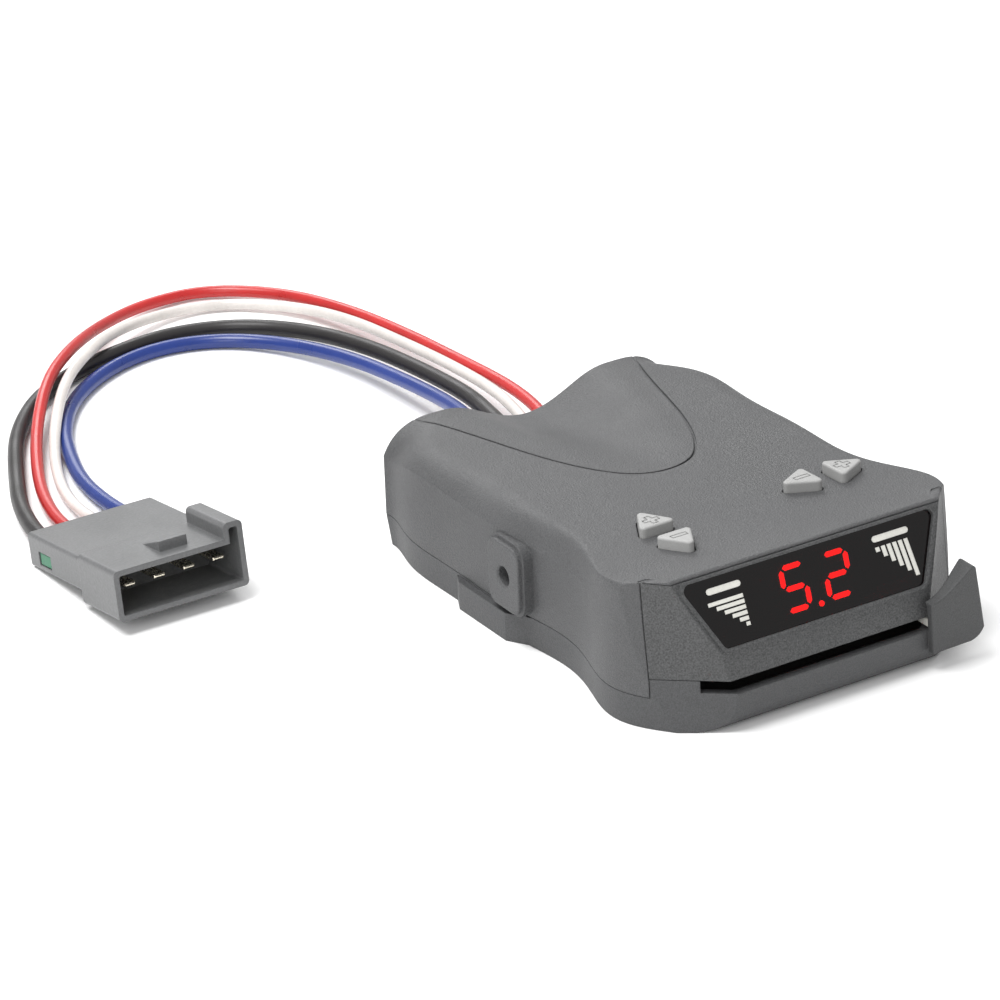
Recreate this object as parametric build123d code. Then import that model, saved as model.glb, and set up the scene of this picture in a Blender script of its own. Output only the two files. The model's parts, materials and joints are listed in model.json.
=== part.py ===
from build123d import *
import math
import os

# Trailer brake controller: a dash-mounted control box with a sprung manual slider,
# four setting buttons, a two-digit display and a four-wire pigtail with its connector.
# Frame: millimetres, origin at the centre of the flat base, +Z up, the display faces -Y.

os.makedirs("parts", exist_ok=True)

# ---------------------------------------------------------------- driving dimensions
REAR_Y = 60.0                 # rear face of the box
FRONT_Y = -61.4               # foremost edge of the lower lip
SIDE_X = 41.0                 # half width of the straight rear part
PARTING_Z = 7.5               # joint between bottom cover and top housing
BASE_EDGE_Z = 7.7             # the base tapers inwards below this height
CREASE_Z = 25.5               # where the side walls turn into the shoulders
WALL = 2.0                    # moulded wall thickness
SEAM = 0.15                   # gap between two moulded pieces
DECK_REAR_Z = 29.4            # deck height at the rear edge
DECK_SLOPE = 0.0292           # rise of the deck towards the front
LIP_START_Y = -20.0           # the deck curves up towards the front from here
LIP_CURVE = 0.0016            # strength of that curve
VALLEY_DEPTH = 6.5            # depth of the trough at the rear edge
BASE_TAPER = 0.6              # how far the bottom cover tapers in

CHEEK_TOP_Z = 34.2            # each front corner face is ruled between two level lines
CHEEK_TOP_LINE = ((41.25, -45.0), (34.7, -51.9))
CHEEK_LOW_Z = 4.0
CHEEK_LOW_LINE = ((42.3, -49.0), (25.0, -61.4))

WINDOW_TOP = (-51.8, 33.6)    # (Y, Z) at the top of the display face
WINDOW_FOOT = (-59.3, 18.3)   # (Y, Z) at its bottom
STRIP_FOOT = (-60.6, 12.0)    # (Y, Z) at the foot of the strip below the window
SLOT_Z = (9.1, 12.0)          # slider slot, bottom and top
SLOT_HALF = 31.0

PAD_Y = 2.2                   # side mounting pad, centre and size
PAD_Z = 16.3
PAD_SIZE = (12.4, 15.8)
PAD_FACE_X = 43.0
MOUNT_HOLE_R = 2.25
MOUNT_HOLE_DEPTH = 7.0

BUTTON_BASE = 9.7            # triangle base and height of a button
BUTTON_HEIGHT = 8.8
BUTTON_RISE = 2.4             # height above the deck
BUTTON_GAP = 4.98             # distance between the two bases of a pair
BUTTON_TRAVEL = 0.7
BUTTON_CLEARANCE = 0.3

SLIDER_TRAVEL = 54.0
KNOB_STEM_X = 27.5            # stem centre at rest, at the right end of the slot

CONTROL_BOARD_Z = 20.0        # underside of the upper circuit board
MAIN_BOARD_Z = 6.0            # underside of the lower circuit board
BOARD = 1.6                   # circuit board thickness

EPS = 0.02


# ---------------------------------------------------------------- helpers
def box(x0, x1, y0, y1, z0, z1):
    """An upright box between two corners."""
    size = Box(x1 - x0, y1 - y0, z1 - z0)
    return Pos((x0 + x1) / 2, (y0 + y1) / 2, (z0 + z1) / 2) * size


def rod(radius, start, end):
    """A round bar from one point to another."""
    axis = Vector(*end) - Vector(*start)
    plane = Plane(origin=start, z_dir=axis.normalized())
    return extrude(plane * Circle(radius), amount=axis.length)


def rounded_block(x0, x1, y0, y1, z0, z1, radius):
    """An upright block with rounded vertical edges."""
    plane = Plane(origin=((x0 + x1) / 2, (y0 + y1) / 2, z0))
    return extrude(plane * RectangleRounded(x1 - x0, y1 - y0, radius), amount=z1 - z0)


def solids_of(*shapes):
    """One compound of separate solids."""
    found = []
    for shape in shapes:
        found.extend(shape.solids())
    return Compound(found)


def save(shape, name):
    """Write one sub-part and print its volume."""
    shape.label = name
    export_step(shape, "parts/" + name + ".step")
    print(name, len(shape.solids()), round(shape.volume, 1))


def smooth_step(value):
    """0 below 0, 1 above 1, with level ends."""
    bounded = min(1.0, max(0.0, value))
    return bounded * bounded * (3 - 2 * bounded)


# ---------------------------------------------------------------- outer form
def deck_z(y):
    """Height of the deck at a distance from the middle, outside the trough."""
    lip = max(0.0, LIP_START_Y - y)
    return DECK_REAR_Z + DECK_SLOPE * (REAR_Y - y) + LIP_CURVE * lip * lip


def deck_tilt(y):
    """Slope angle of the deck, in degrees."""
    return math.degrees(math.atan(DECK_SLOPE + 2 * LIP_CURVE * max(0.0, LIP_START_Y - y)))


def side_x(y):
    """Half width at the side wall: straight at the rear, a waist, then wider again."""
    waist = 2.4 * smooth_step((8 - y) / 20)
    flare = 3.9 * smooth_step((-16 - y) / 22)
    return SIDE_X - waist + flare


def shoulder_x(y):
    """Half width of the flat of the deck, where the shoulder begins."""
    return 33.5 + 1.5 * smooth_step((20 - y) / 30) + 5.8 * smooth_step((-14 - y) / 22)


def crease_z(y):
    """Height of the crease along the side wall."""
    return CREASE_Z - 1.2 * smooth_step((4 - y) / 16) + 7.6 * smooth_step((-20 - y) / 24)


def valley_half(y):
    """Half width of the trough in the deck."""
    return 9.0 + 12.5 * smooth_step((y + 10) / 70)


def valley_depth(y):
    """Depth of the trough, nothing at its front end."""
    return VALLEY_DEPTH * smooth_step((y + 2) / 80) * 1.22


def section(y, inset):
    """Cross-section of the box at one distance, moved inwards by a wall thickness."""
    wall_x = side_x(y) - inset
    shoulder = shoulder_x(y) - 0.6 * inset
    crease = crease_z(y) - 0.45 * inset
    deck = deck_z(y) - inset
    trough = valley_half(y)
    low = deck - valley_depth(y)
    base_x = wall_x - BASE_TAPER
    floor = -2.0

    def at(x, z):
        return Vector(x, y, z)

    half_rise = (deck + low) / 2
    dip = Spline([at(-trough, deck), at(-trough * 0.5, half_rise), at(0, low),
                  at(trough * 0.5, half_rise), at(trough, deck)],
                 tangents=[(1, 0, 0), (1, 0, 0)])
    climb = Spline([at(-wall_x, crease), at(-shoulder, deck)],
                   tangents=[(0.35, 0, 0.75), (1, 0, 0)])
    descent = Spline([at(shoulder, deck), at(wall_x, crease)],
                     tangents=[(1, 0, 0), (0.35, 0, -0.75)])
    edges = [
        Line(at(base_x, floor), at(-base_x, floor)),
        Line(at(-base_x, floor), at(-wall_x, BASE_EDGE_Z)),
        Line(at(-wall_x, BASE_EDGE_Z), at(-wall_x, crease)),
        climb,
        Line(at(-shoulder, deck), at(-trough, deck)),
        dip,
        Line(at(trough, deck), at(shoulder, deck)),
        descent,
        Line(at(wall_x, crease), at(wall_x, BASE_EDGE_Z)),
        Line(at(wall_x, BASE_EDGE_Z), at(base_x, floor)),
    ]
    return Face(Wire(edges))


STATIONS = (REAR_Y + 4, 44, 28, 12, -2, -16, -30, -44, -66)


def form(inset):
    """The hollow or the outside of the box, without its front end."""
    return loft([section(y, inset) for y in STATIONS])


def cheek_line(z, inset, sign):
    """Plan outline of everything outside a front corner face, at one height."""
    share = (CHEEK_TOP_Z - z) / (CHEEK_TOP_Z - CHEEK_LOW_Z)
    outer, inner = [
        Vector(*high) + (Vector(*low) - Vector(*high)) * share
        for high, low in zip(CHEEK_TOP_LINE, CHEEK_LOW_LINE)
    ]
    along = (outer - inner).normalized()
    across = Vector(along.Y, -along.X)
    near = inner - along * 30 - across * inset
    far = outer + along * 30 - across * inset
    corners = [near, far, far + across * 40, near + across * 40, near]
    return Polyline([(sign * corner.X, corner.Y, z) for corner in corners])


def cheek_wedge(inset, sign):
    """Everything outside one of the two slanted front corner faces."""
    return loft([make_face(cheek_line(z, inset, sign)) for z in (-2.0, 37.0)], ruled=True)


def nose(inset):
    """Side profile of the box, trimmed by the two front corner faces."""
    run = WINDOW_TOP[0] - WINDOW_FOOT[0]
    rise = WINDOW_TOP[1] - WINDOW_FOOT[1]
    top_z = 48.0
    top_y = WINDOW_TOP[0] + (top_z - WINDOW_TOP[1]) * run / rise
    profile = Polyline([
        (REAR_Y - 1 - inset, 0),
        (REAR_Y - inset, BASE_EDGE_Z),
        (REAR_Y - inset, top_z),
        (top_y + inset, top_z),
        (WINDOW_FOOT[0] + inset, WINDOW_FOOT[1]),
        (STRIP_FOOT[0] + inset, STRIP_FOOT[1]),
        (FRONT_Y - 0.2 + inset, SLOT_Z[0]),
        (FRONT_Y + inset, 4.6),
        (FRONT_Y + 0.8 + inset, 2.4),
        (FRONT_Y + 2.4 + inset, 0.8),
        (FRONT_Y + 4.6 + inset, 0),
        (REAR_Y - 1 - inset, 0),
    ])
    prism = extrude(Plane.YZ * make_face(profile), amount=60, both=True)
    return prism - cheek_wedge(inset, 1) - cheek_wedge(inset, -1)


def rounded_outside():
    """The outside of the whole box with its front ridge and corner edges rounded."""
    shape = form(0) & nose(0) & box(-60, 60, -70, 70, 0, 60)

    edges = shape.edges()
    ridge = edges.filter_by(lambda edge: edge.center().Y < -44 and edge.center().Z > 33.8)
    corners = edges.filter_by(lambda edge: abs(edge.center().X) > 40 and -52 < edge.center().Y < -44)
    corners = corners.filter_by(lambda edge: edge.center().Z < 33)
    return shape.fillet(1.0, ridge + corners)


OUTSIDE = rounded_outside()
CAVITY = (form(WALL) & nose(WALL)) & box(-60, 60, -70, 60, WALL, 60)
FRONT_SKIN = OUTSIDE - nose(WALL)
SHELL = OUTSIDE - CAVITY


def above_deck(x, y, rise):
    """A plane lying on the deck, raised by a distance."""
    tilt = math.radians(deck_tilt(y))
    normal = Vector(0, math.sin(tilt), math.cos(tilt))
    origin = Vector(x, y, deck_z(y)) + normal * rise
    return Plane(origin=origin, x_dir=(1, 0, 0), z_dir=normal)


# ---------------------------------------------------------------- display face
WINDOW_SLOPE = math.atan2(WINDOW_TOP[0] - WINDOW_FOOT[0], WINDOW_TOP[1] - WINDOW_FOOT[1])
WINDOW_NORMAL = Vector(0, -math.cos(WINDOW_SLOPE), math.sin(WINDOW_SLOPE))
WINDOW_CENTRE = (0, (WINDOW_TOP[0] + WINDOW_FOOT[0]) / 2, (WINDOW_TOP[1] + WINDOW_FOOT[1]) / 2)
GLASS_TOP = (33.4, 7.7)       # half width and height of the glass corners on the display face
GLASS_FOOT = (26.0, -7.8)
GLASS_CORNER_R = 1.6
BEAD = 0.9                    # raised bead around the glass
BEAD_RISE = 0.4
BEZEL_HALF = 39.3             # the bezel ends at this half width
BEZEL_TOP_Z = 33.55
BEZEL_BACK_Y = -46.2          # the bezel starts this far forward
DIGIT_DEPTH = 2.8             # the lit segments lie this far behind the display face
DIGIT_CENTRES = (-4.1, 6.9)
DIGIT_SIZE = (6.9, 10.4)      # width and height over the segments
DIGIT_SLANT = 0.08
SEGMENT = 1.15                # segment width
SEGMENT_SHEET = 0.2
POINT_AT = (1.2, -5.0)        # decimal point after the first digit
MODULE_HALF = (15.5, 6.5)
MODULE_DEPTH = (3.0, 9.0)
LEDGE = 0.1


def window_plane(depth):
    """A plane parallel to the display face, sunk behind it."""
    origin = Vector(*WINDOW_CENTRE) - WINDOW_NORMAL * depth
    return Plane(origin=origin, x_dir=(1, 0, 0), z_dir=WINDOW_NORMAL)


def glass_outline(margin):
    """The display opening: a trapezoid with rounded corners, grown by a margin."""
    top_x, top = GLASS_TOP
    foot_x, foot = GLASS_FOOT
    corners = [(-top_x, top), (-foot_x, foot), (foot_x, foot), (top_x, top), (-top_x, top)]
    face = make_face(Polyline(corners))
    face = fillet(face.vertices(), GLASS_CORNER_R)
    return offset(face, amount=margin) if margin else face


def behind_window(outline, start, end):
    """A slab with this outline between two depths behind the display face."""
    return extrude(window_plane(end) * outline, amount=end - start)


def make_front_bezel():
    """Front panel: display frame, the two slanted cheeks and the strip over the slot."""
    panel = FRONT_SKIN & box(-BEZEL_HALF, BEZEL_HALF, -70, BEZEL_BACK_Y, SLOT_Z[1], BEZEL_TOP_Z)
    bead = behind_window(glass_outline(BEAD), -BEAD_RISE, WALL / 2)
    bead = bead & box(-60, 60, -70, -40, SLOT_Z[1], BEZEL_TOP_Z)
    opening = behind_window(glass_outline(0), -5, 6)
    return (panel + bead) - opening


def segment_bars():
    """The seven bars of one digit as (centre, length, upright) in digit units."""
    width, height = DIGIT_SIZE
    across = (width - SEGMENT) / 2
    upright = (height - SEGMENT) / 4
    reach = width - 1.9 * SEGMENT
    tall = height / 2 - 1.2 * SEGMENT
    top = (height - SEGMENT) / 2
    return {
        "top": ((0, top), reach, False),
        "middle": ((0, 0), reach, False),
        "bottom": ((0, -top), reach, False),
        "upper_left": ((-across, upright), tall, True),
        "upper_right": ((across, upright), tall, True),
        "lower_left": ((-across, -upright), tall, True),
        "lower_right": ((across, -upright), tall, True),
    }


LIT_BARS = (
    ("top", "upper_left", "middle", "lower_right", "bottom"),
    ("top", "upper_right", "middle", "lower_left", "bottom"),
)


def segment_face(digit_x, centre, length, upright):
    """One pointed display bar, slanted with the digit."""
    half = length / 2
    tip = SEGMENT / 2
    bar = [(-half, 0), (-half + tip, tip), (half - tip, tip), (half, 0), (half - tip, -tip), (-half + tip, -tip)]
    corners = []
    for along, across in bar:
        dx, dy = (across, along) if upright else (along, across)
        height = centre[1] + dy
        corners.append((digit_x + centre[0] + dx + DIGIT_SLANT * height, height))
    return make_face(Polyline(corners + corners[:1]))


def make_segments(lit):
    """All display bars that are lit, or all that are dark."""
    bars = segment_bars()
    pieces = []
    for digit_x, lit_names in zip(DIGIT_CENTRES, LIT_BARS):
        for name, (centre, length, upright) in bars.items():
            if (name in lit_names) == lit:
                face = segment_face(digit_x, centre, length, upright)
                pieces.append(behind_window(face, DIGIT_DEPTH, DIGIT_DEPTH + SEGMENT_SHEET))
    if lit:
        point = Pos(*POINT_AT) * Circle(SEGMENT * 0.55)
        pieces.append(behind_window(point, DIGIT_DEPTH, DIGIT_DEPTH + SEGMENT_SHEET))
    return solids_of(*pieces)


def make_display_lens():
    """Dark window, set a little below the bead."""
    return behind_window(glass_outline(-0.06), 0.5, 1.9)


def make_display_module():
    """Two-digit display block behind the window."""
    return behind_window(Rectangle(2 * MODULE_HALF[0], 2 * MODULE_HALF[1]), *MODULE_DEPTH)


DISPLAY_BOARD_HALF = 28.0


def make_display_board():
    """Leaning circuit board that carries the display block."""
    outline = Pos(0, 1.0) * Rectangle(2 * DISPLAY_BOARD_HALF, 13.6)
    return behind_window(outline, MODULE_DEPTH[1] + LEDGE, MODULE_DEPTH[1] + LEDGE + BOARD)


# ---------------------------------------------------------------- buttons
GAIN_CENTRE = (-21.25, -29.7)
SYNC_CENTRE = (22.7, -25.9)
# name: (pair centre, direction the triangle points, sign engraved on it)
BUTTONS = {
    "gain_plus": (GAIN_CENTRE, 90, "+"),
    "gain_minus": (GAIN_CENTRE, -90, "-"),
    "sync_minus": (SYNC_CENTRE, 180, "-"),
    "sync_plus": (SYNC_CENTRE, 0, "+"),
}
SWITCH_TOP_Z = 25.2           # top of the switch body
PLUNGER_TOP_Z = 26.2
FLANGE_R = 3.5
FLANGE = 1.0
STEM_R = 1.5
ENGRAVING = 0.22              # width and depth of the engraved line
SIGN_HALF = 1.9
SIGN_BAR = 0.62


def button_centre(name):
    """Centroid of a button's triangle on the deck."""
    (pair_x, pair_y), direction, sign = BUTTONS[name]
    reach = BUTTON_GAP / 2 + BUTTON_HEIGHT / 3
    angle = math.radians(direction)
    return pair_x + reach * math.cos(angle), pair_y + reach * math.sin(angle)


def triangle(name, margin, corner):
    """Rounded triangle of one button around its centroid."""
    direction = BUTTONS[name][1]
    foot = -BUTTON_HEIGHT / 3
    tip = BUTTON_HEIGHT * 2 / 3
    corners = [(foot, -BUTTON_BASE / 2), (tip, 0), (foot, BUTTON_BASE / 2), (foot, -BUTTON_BASE / 2)]
    face = make_face(Polyline(corners))
    face = fillet(face.vertices(), corner)
    face = offset(face, amount=margin) if margin else face
    return Rot(0, 0, direction) * face


def sign_outline(name):
    """Thin outline of the plus or minus sign."""
    mark = Rectangle(2 * SIGN_HALF, 2 * SIGN_BAR)
    if BUTTONS[name][2] == "+":
        mark = mark + Rectangle(2 * SIGN_BAR, 2 * SIGN_HALF)
    return offset(mark, amount=ENGRAVING / 2, kind=Kind.INTERSECTION) - offset(
        mark, amount=-ENGRAVING / 2, kind=Kind.INTERSECTION)


def make_button(name):
    """Button cap with its retaining flange and the stem that meets the switch."""
    x, y = button_centre(name)
    top = above_deck(x, y, BUTTON_RISE)
    drop = BUTTON_RISE + WALL + 0.3
    cap = extrude(top * triangle(name, 0, 1.0), amount=-drop)
    cap = cap.fillet(0.45, cap.faces().sort_by(Axis.Z)[-1].edges())
    groove = extrude(top * sign_outline(name), amount=-ENGRAVING)
    flange_plane = above_deck(x, y, -WALL - 0.3)
    flange = extrude(flange_plane * Circle(FLANGE_R), amount=-FLANGE)
    stem = rod(STEM_R, (x, y, PLUNGER_TOP_Z), (x, y, deck_z(y) - WALL - 0.8))
    return (cap - groove) + flange + stem


def make_plunger(name):
    """Moving plunger of the switch under one button."""
    x, y = button_centre(name)
    return rod(1.75, (x, y, SWITCH_TOP_Z - 1.2), (x, y, PLUNGER_TOP_Z))


def make_switch_bodies():
    """Four square switches on the control board, each bored for its plunger."""
    bodies = []
    for name in BUTTONS:
        x, y = button_centre(name)
        board_top = CONTROL_BOARD_Z + BOARD
        body = rounded_block(x - 3, x + 3, y - 3, y + 3, board_top, SWITCH_TOP_Z, 0.5)
        body = body - rod(1.85, (x, y, board_top + 0.4), (x, y, SWITCH_TOP_Z + 1))
        for dx in (-2.4, 2.4):
            for dy in (-3.35, 3.35):
                body = body + box(x + dx - 0.4, x + dx + 0.4, y + dy - 0.4, y + dy + 0.4, board_top, board_top + 0.9)
        bodies.append(body)
    return solids_of(*bodies)


# ---------------------------------------------------------------- shells
GROOVE_TIP_Y = 0.4            # engraved line around the trough
GROOVE_TIP_R = 13.0
GROOVE_TIP_TURN = 52.0        # degrees of the tip on each side of the middle
GROOVE_END_X = 30.5
GROOVE_END_SLOPE = (0.42, 0.91)
GROOVE_WIDTH = 0.6
GROOVE_DEPTH = 0.5
RELIEF_X = 5.0                # wire exit in the rear wall, middle and half width
RELIEF_HALF = 12.0
RELIEF_Z = (8.6, 16.4)
SCREW_POSTS = [(-33.5, 49.5), (33.5, 49.5), (-35.0, -30.0), (35.0, -30.0)]
POST_R = 3.2
POST_PILOT_R = 1.35
SCREW_SEAT_Z = 3.0


def tongue(grow):
    """Tongue-shaped area of the deck with a round tip, widened by grow and open at the rear."""
    middle_y = GROOVE_TIP_Y + GROOVE_TIP_R
    radius = GROOVE_TIP_R + grow
    turn = math.radians(GROOVE_TIP_TURN)
    side = (radius * math.sin(turn), middle_y - radius * math.cos(turn))
    slope = (math.cos(turn), math.sin(turn))
    end = (GROOVE_END_X + grow, REAR_Y + 1)
    tip = ThreePointArc((-side[0], side[1]), (0, middle_y - radius), side)
    right = Spline([side, end], tangents=[slope, GROOVE_END_SLOPE])
    left = Spline(
        [(-end[0], end[1]), (-side[0], side[1])],
        tangents=[(GROOVE_END_SLOPE[0], -GROOVE_END_SLOPE[1]), (slope[0], -slope[1])],
    )
    return make_face(Wire([left, tip, right, Line(end, (-end[0], end[1]))]))


def make_groove():
    """U-shaped engraving, open towards the rear edge, parallel to the deck."""
    band = tongue(GROOVE_WIDTH / 2) - tongue(-GROOVE_WIDTH / 2)
    tilt = math.atan(DECK_SLOPE)
    bottom = Plane(
        origin=(0, REAR_Y, DECK_REAR_Z - GROOVE_DEPTH),
        x_dir=(1, 0, 0),
        z_dir=(0, math.sin(tilt), math.cos(tilt)),
    )
    return extrude(Pos(0, 0, 10) * band, amount=40) & extrude(bottom * Rectangle(200, 200), amount=20)


def make_pad(sign):
    """Side mounting pad: a stepped rounded plate with a screw boss behind it."""
    wall_x = 37.0

    def plate(grow, face_x):
        plane = Plane(origin=(sign * wall_x, PAD_Y, PAD_Z), x_dir=(0, 1, 0), z_dir=(sign, 0, 0))
        outline = RectangleRounded(PAD_SIZE[0] + grow, PAD_SIZE[1] + grow, 3.0 + grow / 2)
        return extrude(plane * outline, amount=face_x - wall_x)

    upper = plate(0, PAD_FACE_X)
    upper = upper.fillet(0.4, upper.faces().sort_by(Axis.X)[-1 if sign > 0 else 0].edges())
    boss = rod(4.6, (sign * (PAD_FACE_X - MOUNT_HOLE_DEPTH - 1.5), PAD_Y, PAD_Z), (sign * 39.0, PAD_Y, PAD_Z))
    return upper + plate(1.6, PAD_FACE_X - 1.1) + boss


def make_mount_hole(sign):
    """Blind screw hole of a side pad with a small chamfer at its mouth."""
    mouth = sign * PAD_FACE_X
    hole = rod(MOUNT_HOLE_R, (mouth - sign * MOUNT_HOLE_DEPTH, PAD_Y, PAD_Z), (mouth + sign, PAD_Y, PAD_Z))
    flare = Cone(MOUNT_HOLE_R, MOUNT_HOLE_R + 0.4, 0.4)
    lean = 90 if sign > 0 else -90
    return hole + Pos(mouth - sign * 0.2, PAD_Y, PAD_Z) * Rot(0, lean, 0) * flare


def make_top_housing():
    """Upper shell with deck, side walls, pads, button openings, posts and wire exit."""
    shell = SHELL & box(-60, 60, -70, 60, PARTING_Z + SEAM, 60)
    for sign in (-1, 1):
        shell = shell + (make_pad(sign) & box(-60, 60, -70, 60, PARTING_Z + SEAM, 60))
    core = form(WALL / 2)
    for x, y in SCREW_POSTS:
        shell = shell + (rod(POST_R, (x, y, PARTING_Z + SEAM), (x, y, 45)) & core)
    front = OUTSIDE - nose(WALL + SEAM)
    reach = BEZEL_HALF + SEAM
    shell = shell - (front & box(-reach, reach, -70, BEZEL_BACK_Y + SEAM, 0, BEZEL_TOP_Z + SEAM))
    for sign in (-1, 1):
        shell = shell - make_mount_hole(sign)
    for x, y in SCREW_POSTS:
        shell = shell - rod(POST_PILOT_R, (x, y, 0), (x, y, 19))
    for name in BUTTONS:
        x, y = button_centre(name)
        shell = shell - extrude(above_deck(x, y, 3) * triangle(name, BUTTON_CLEARANCE, 1.0), amount=-8)
    left, right = RELIEF_X - RELIEF_HALF, RELIEF_X + RELIEF_HALF
    shell = shell - box(left, right, REAR_Y - 8, REAR_Y + 4, RELIEF_Z[0], RELIEF_Z[1])
    return shell - make_groove()


def make_pad_foot(sign):
    """Low bulge of the base under a side pad."""
    outline = [(38.0, -4.0), (42.3, 3.0), (42.5, 22.0), (38.0, 31.0), (38.0, -4.0)]
    return extrude(make_face(Polyline([(sign * x, y) for x, y in outline])), amount=6.8, dir=(0, 0, 1))


def make_bottom_cover():
    """Lower shell: floor, low walls, the front lip under the slot, posts and screw seats."""
    cover = SHELL & box(-60, 60, -70, 60, -1, PARTING_Z)
    lip = FRONT_SKIN & box(-BEZEL_HALF, BEZEL_HALF, -70, -42, 2, SLOT_Z[1] - SEAM)
    cover = cover + lip
    cover = cover - box(-SLOT_HALF, SLOT_HALF, -70, -42, SLOT_Z[0], 20)
    for sign in (-1, 1):
        cover = cover + make_pad_foot(sign)
    for x, y in SCREW_POSTS:
        cover = cover + (rod(4.2, (x, y, 0.5), (x, y, PARTING_Z)) & OUTSIDE)
    for x, y in BOARD_POSTS:
        cover = cover + rod(3.0, (x, y, 1), (x, y, MAIN_BOARD_Z))
    for sign in (-1, 1):
        cover = cover + make_rod_bracket(sign)
        pad_room = (PAD_SIZE[0] + 2.4, PAD_SIZE[1] + 2.4)
        plane = Plane(origin=(sign * 36, PAD_Y, PAD_Z), x_dir=(0, 1, 0), z_dir=(sign, 0, 0))
        cover = cover - extrude(plane * RectangleRounded(*pad_room, 3), amount=10)
    for x, y in SCREW_POSTS:
        cover = cover - rod(1.7, (x, y, -1), (x, y, 10)) - rod(3.1, (x, y, -1), (x, y, SCREW_SEAT_Z))
    for x, y in BOARD_POSTS:
        cover = cover - rod(1.25, (x, y, WALL + 0.4), (x, y, 10))
    for sign in (-1, 1):
        cover = cover - rod(ROD_R + 0.01, (-ROD_HALF, ROD_Y, ROD_Z), (ROD_HALF, ROD_Y, ROD_Z))
    return cover


# ---------------------------------------------------------------- manual slider
ROD_R = 1.5
ROD_Y = -43.6
ROD_Z = 14.2
ROD_HALF = 37.4
TRACK_HALF = 36.0
CARRIAGE_HALF = 6.0
STEM_HALF = 2.0
STEM_Z = (9.65, 11.45)
KNOB_BACK_Y = -62.0
SPRING_AT = (27.6, -34.6)     # axis of the coil, off the near end of the track
SPRING_R = 3.6
SPRING_Z = (9.4, 14.4)


def make_rod_bracket(sign):
    """Upright lug that holds one end of the guide rod."""
    return box(min(sign * 35.4, sign * 37.6), max(sign * 35.4, sign * 37.6), -46.4, -41.2, 1.5, 17.0)


def make_slider_guide_rod():
    """Steel rod that the carriage runs on."""
    return rod(ROD_R, (-ROD_HALF, ROD_Y, ROD_Z), (ROD_HALF, ROD_Y, ROD_Z))


def make_slider_track():
    """Slide potentiometer body: a slotted case on the floor of the cover."""
    case = box(-34.6, 34.6, -48.0, -39.0, WALL, 8.2)
    channel = box(-33.2, 33.2, -46.4, -40.6, 3.4, 7.2)
    slit = box(-33.2, 33.2, -44.4, -42.6, 7.0, 9)
    return case - channel - slit


def make_slider_wiper():
    """Contact carrier that rides in the track under the carriage."""
    x = KNOB_STEM_X
    carrier = box(x - 4, x + 4, -46.1, -40.9, 3.7, 6.9)
    lever = box(x - 2.5, x + 2.5, -44.1, -42.9, 6.5, 9.6)
    return carrier + lever


def make_slider_carriage():
    """Carriage: bored for the guide rod, with the arm that passes out of the slot."""
    x = KNOB_STEM_X
    block = rounded_block(x - CARRIAGE_HALF, x + CARRIAGE_HALF, -46.6, -40.6, 9.6, 16.6, 0.8)
    arm = box(x - 3.2, x + 3.2, -52.0, -46.0, STEM_Z[0], STEM_Z[1])
    stem = box(x - STEM_HALF, x + STEM_HALF, KNOB_BACK_Y, -51.5, STEM_Z[0], STEM_Z[1])
    return block + arm + stem - rod(ROD_R + 0.06, (x - 10, ROD_Y, ROD_Z), (x + 10, ROD_Y, ROD_Z))


def make_slider_knob():
    """Finger paddle in front of the slot: its back leans with the display face."""
    low = 4.2
    outline = make_face([
        Line((25.0, low), (34.6, low)),
        ThreePointArc((34.6, low), (37.6, 5.0), (39.1, 6.8)),
        Line((39.1, 6.8), (36.6, 21.4)),
        ThreePointArc((36.6, 21.4), (36.2, 22.05), (35.4, 22.2)),
        Spline([(35.4, 22.2), (29.7, 18.3), (24.3, 16.3)], tangents=[(-0.85, -0.55), (-1, -0.12)]),
        Line((24.3, 16.3), (25.0, low)),
    ])
    paddle = extrude(Plane.XZ * outline, amount=70)
    plan = make_face(Polyline([
        (20.0, KNOB_BACK_Y - 1.8), (44.0, KNOB_BACK_Y - 1.1), (44.0, KNOB_BACK_Y + 8),
        (20.0, KNOB_BACK_Y + 8), (20.0, KNOB_BACK_Y - 1.8),
    ]))
    slab = extrude(plan, amount=40)
    run = WINDOW_TOP[0] - WINDOW_FOOT[0]
    rise = WINDOW_TOP[1] - WINDOW_FOOT[1]
    bend_z = 15.2
    back = make_face(Polyline([
        (KNOB_BACK_Y, -5), (KNOB_BACK_Y, bend_z), (KNOB_BACK_Y + 30 * run / rise, bend_z + 30),
        (-30, bend_z + 30), (-30, -5), (KNOB_BACK_Y, -5),
    ]))
    room = extrude(Plane.YZ * back, amount=60)
    knob = (paddle & slab) - room
    return knob.fillet(0.3, knob.faces().sort_by(Axis.Y)[0].edges())


def make_return_spring():
    """Constant-force spring coil that pulls the carriage back, on its post."""
    x, y = SPRING_AT
    low, high = SPRING_Z
    strip = 0.25

    def turn(radius):
        return rod(radius, (x, y, low), (x, y, high)) - rod(radius - strip, (x, y, low), (x, y, high))

    coil = turn(SPRING_R) + turn(SPRING_R - 0.5) + turn(SPRING_R - 1.0)
    bridge = box(x + 2.2, x + SPRING_R - 0.1, y - 0.2, y + 0.2, low, high)
    tail = box(x - 9.0, x - 0.5, y - SPRING_R, y - SPRING_R + strip, low, high)
    return coil + bridge + tail


def make_spring_post():
    """Post on the floor of the cover that carries the spring coil."""
    x, y = SPRING_AT
    low, high = SPRING_Z
    post = rod(SPRING_R - 1.4, (x, y, WALL), (x, y, high + 0.4))
    return post + rod(SPRING_R + 0.3, (x, y, low - 1.4), (x, y, low - 0.2))


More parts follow.
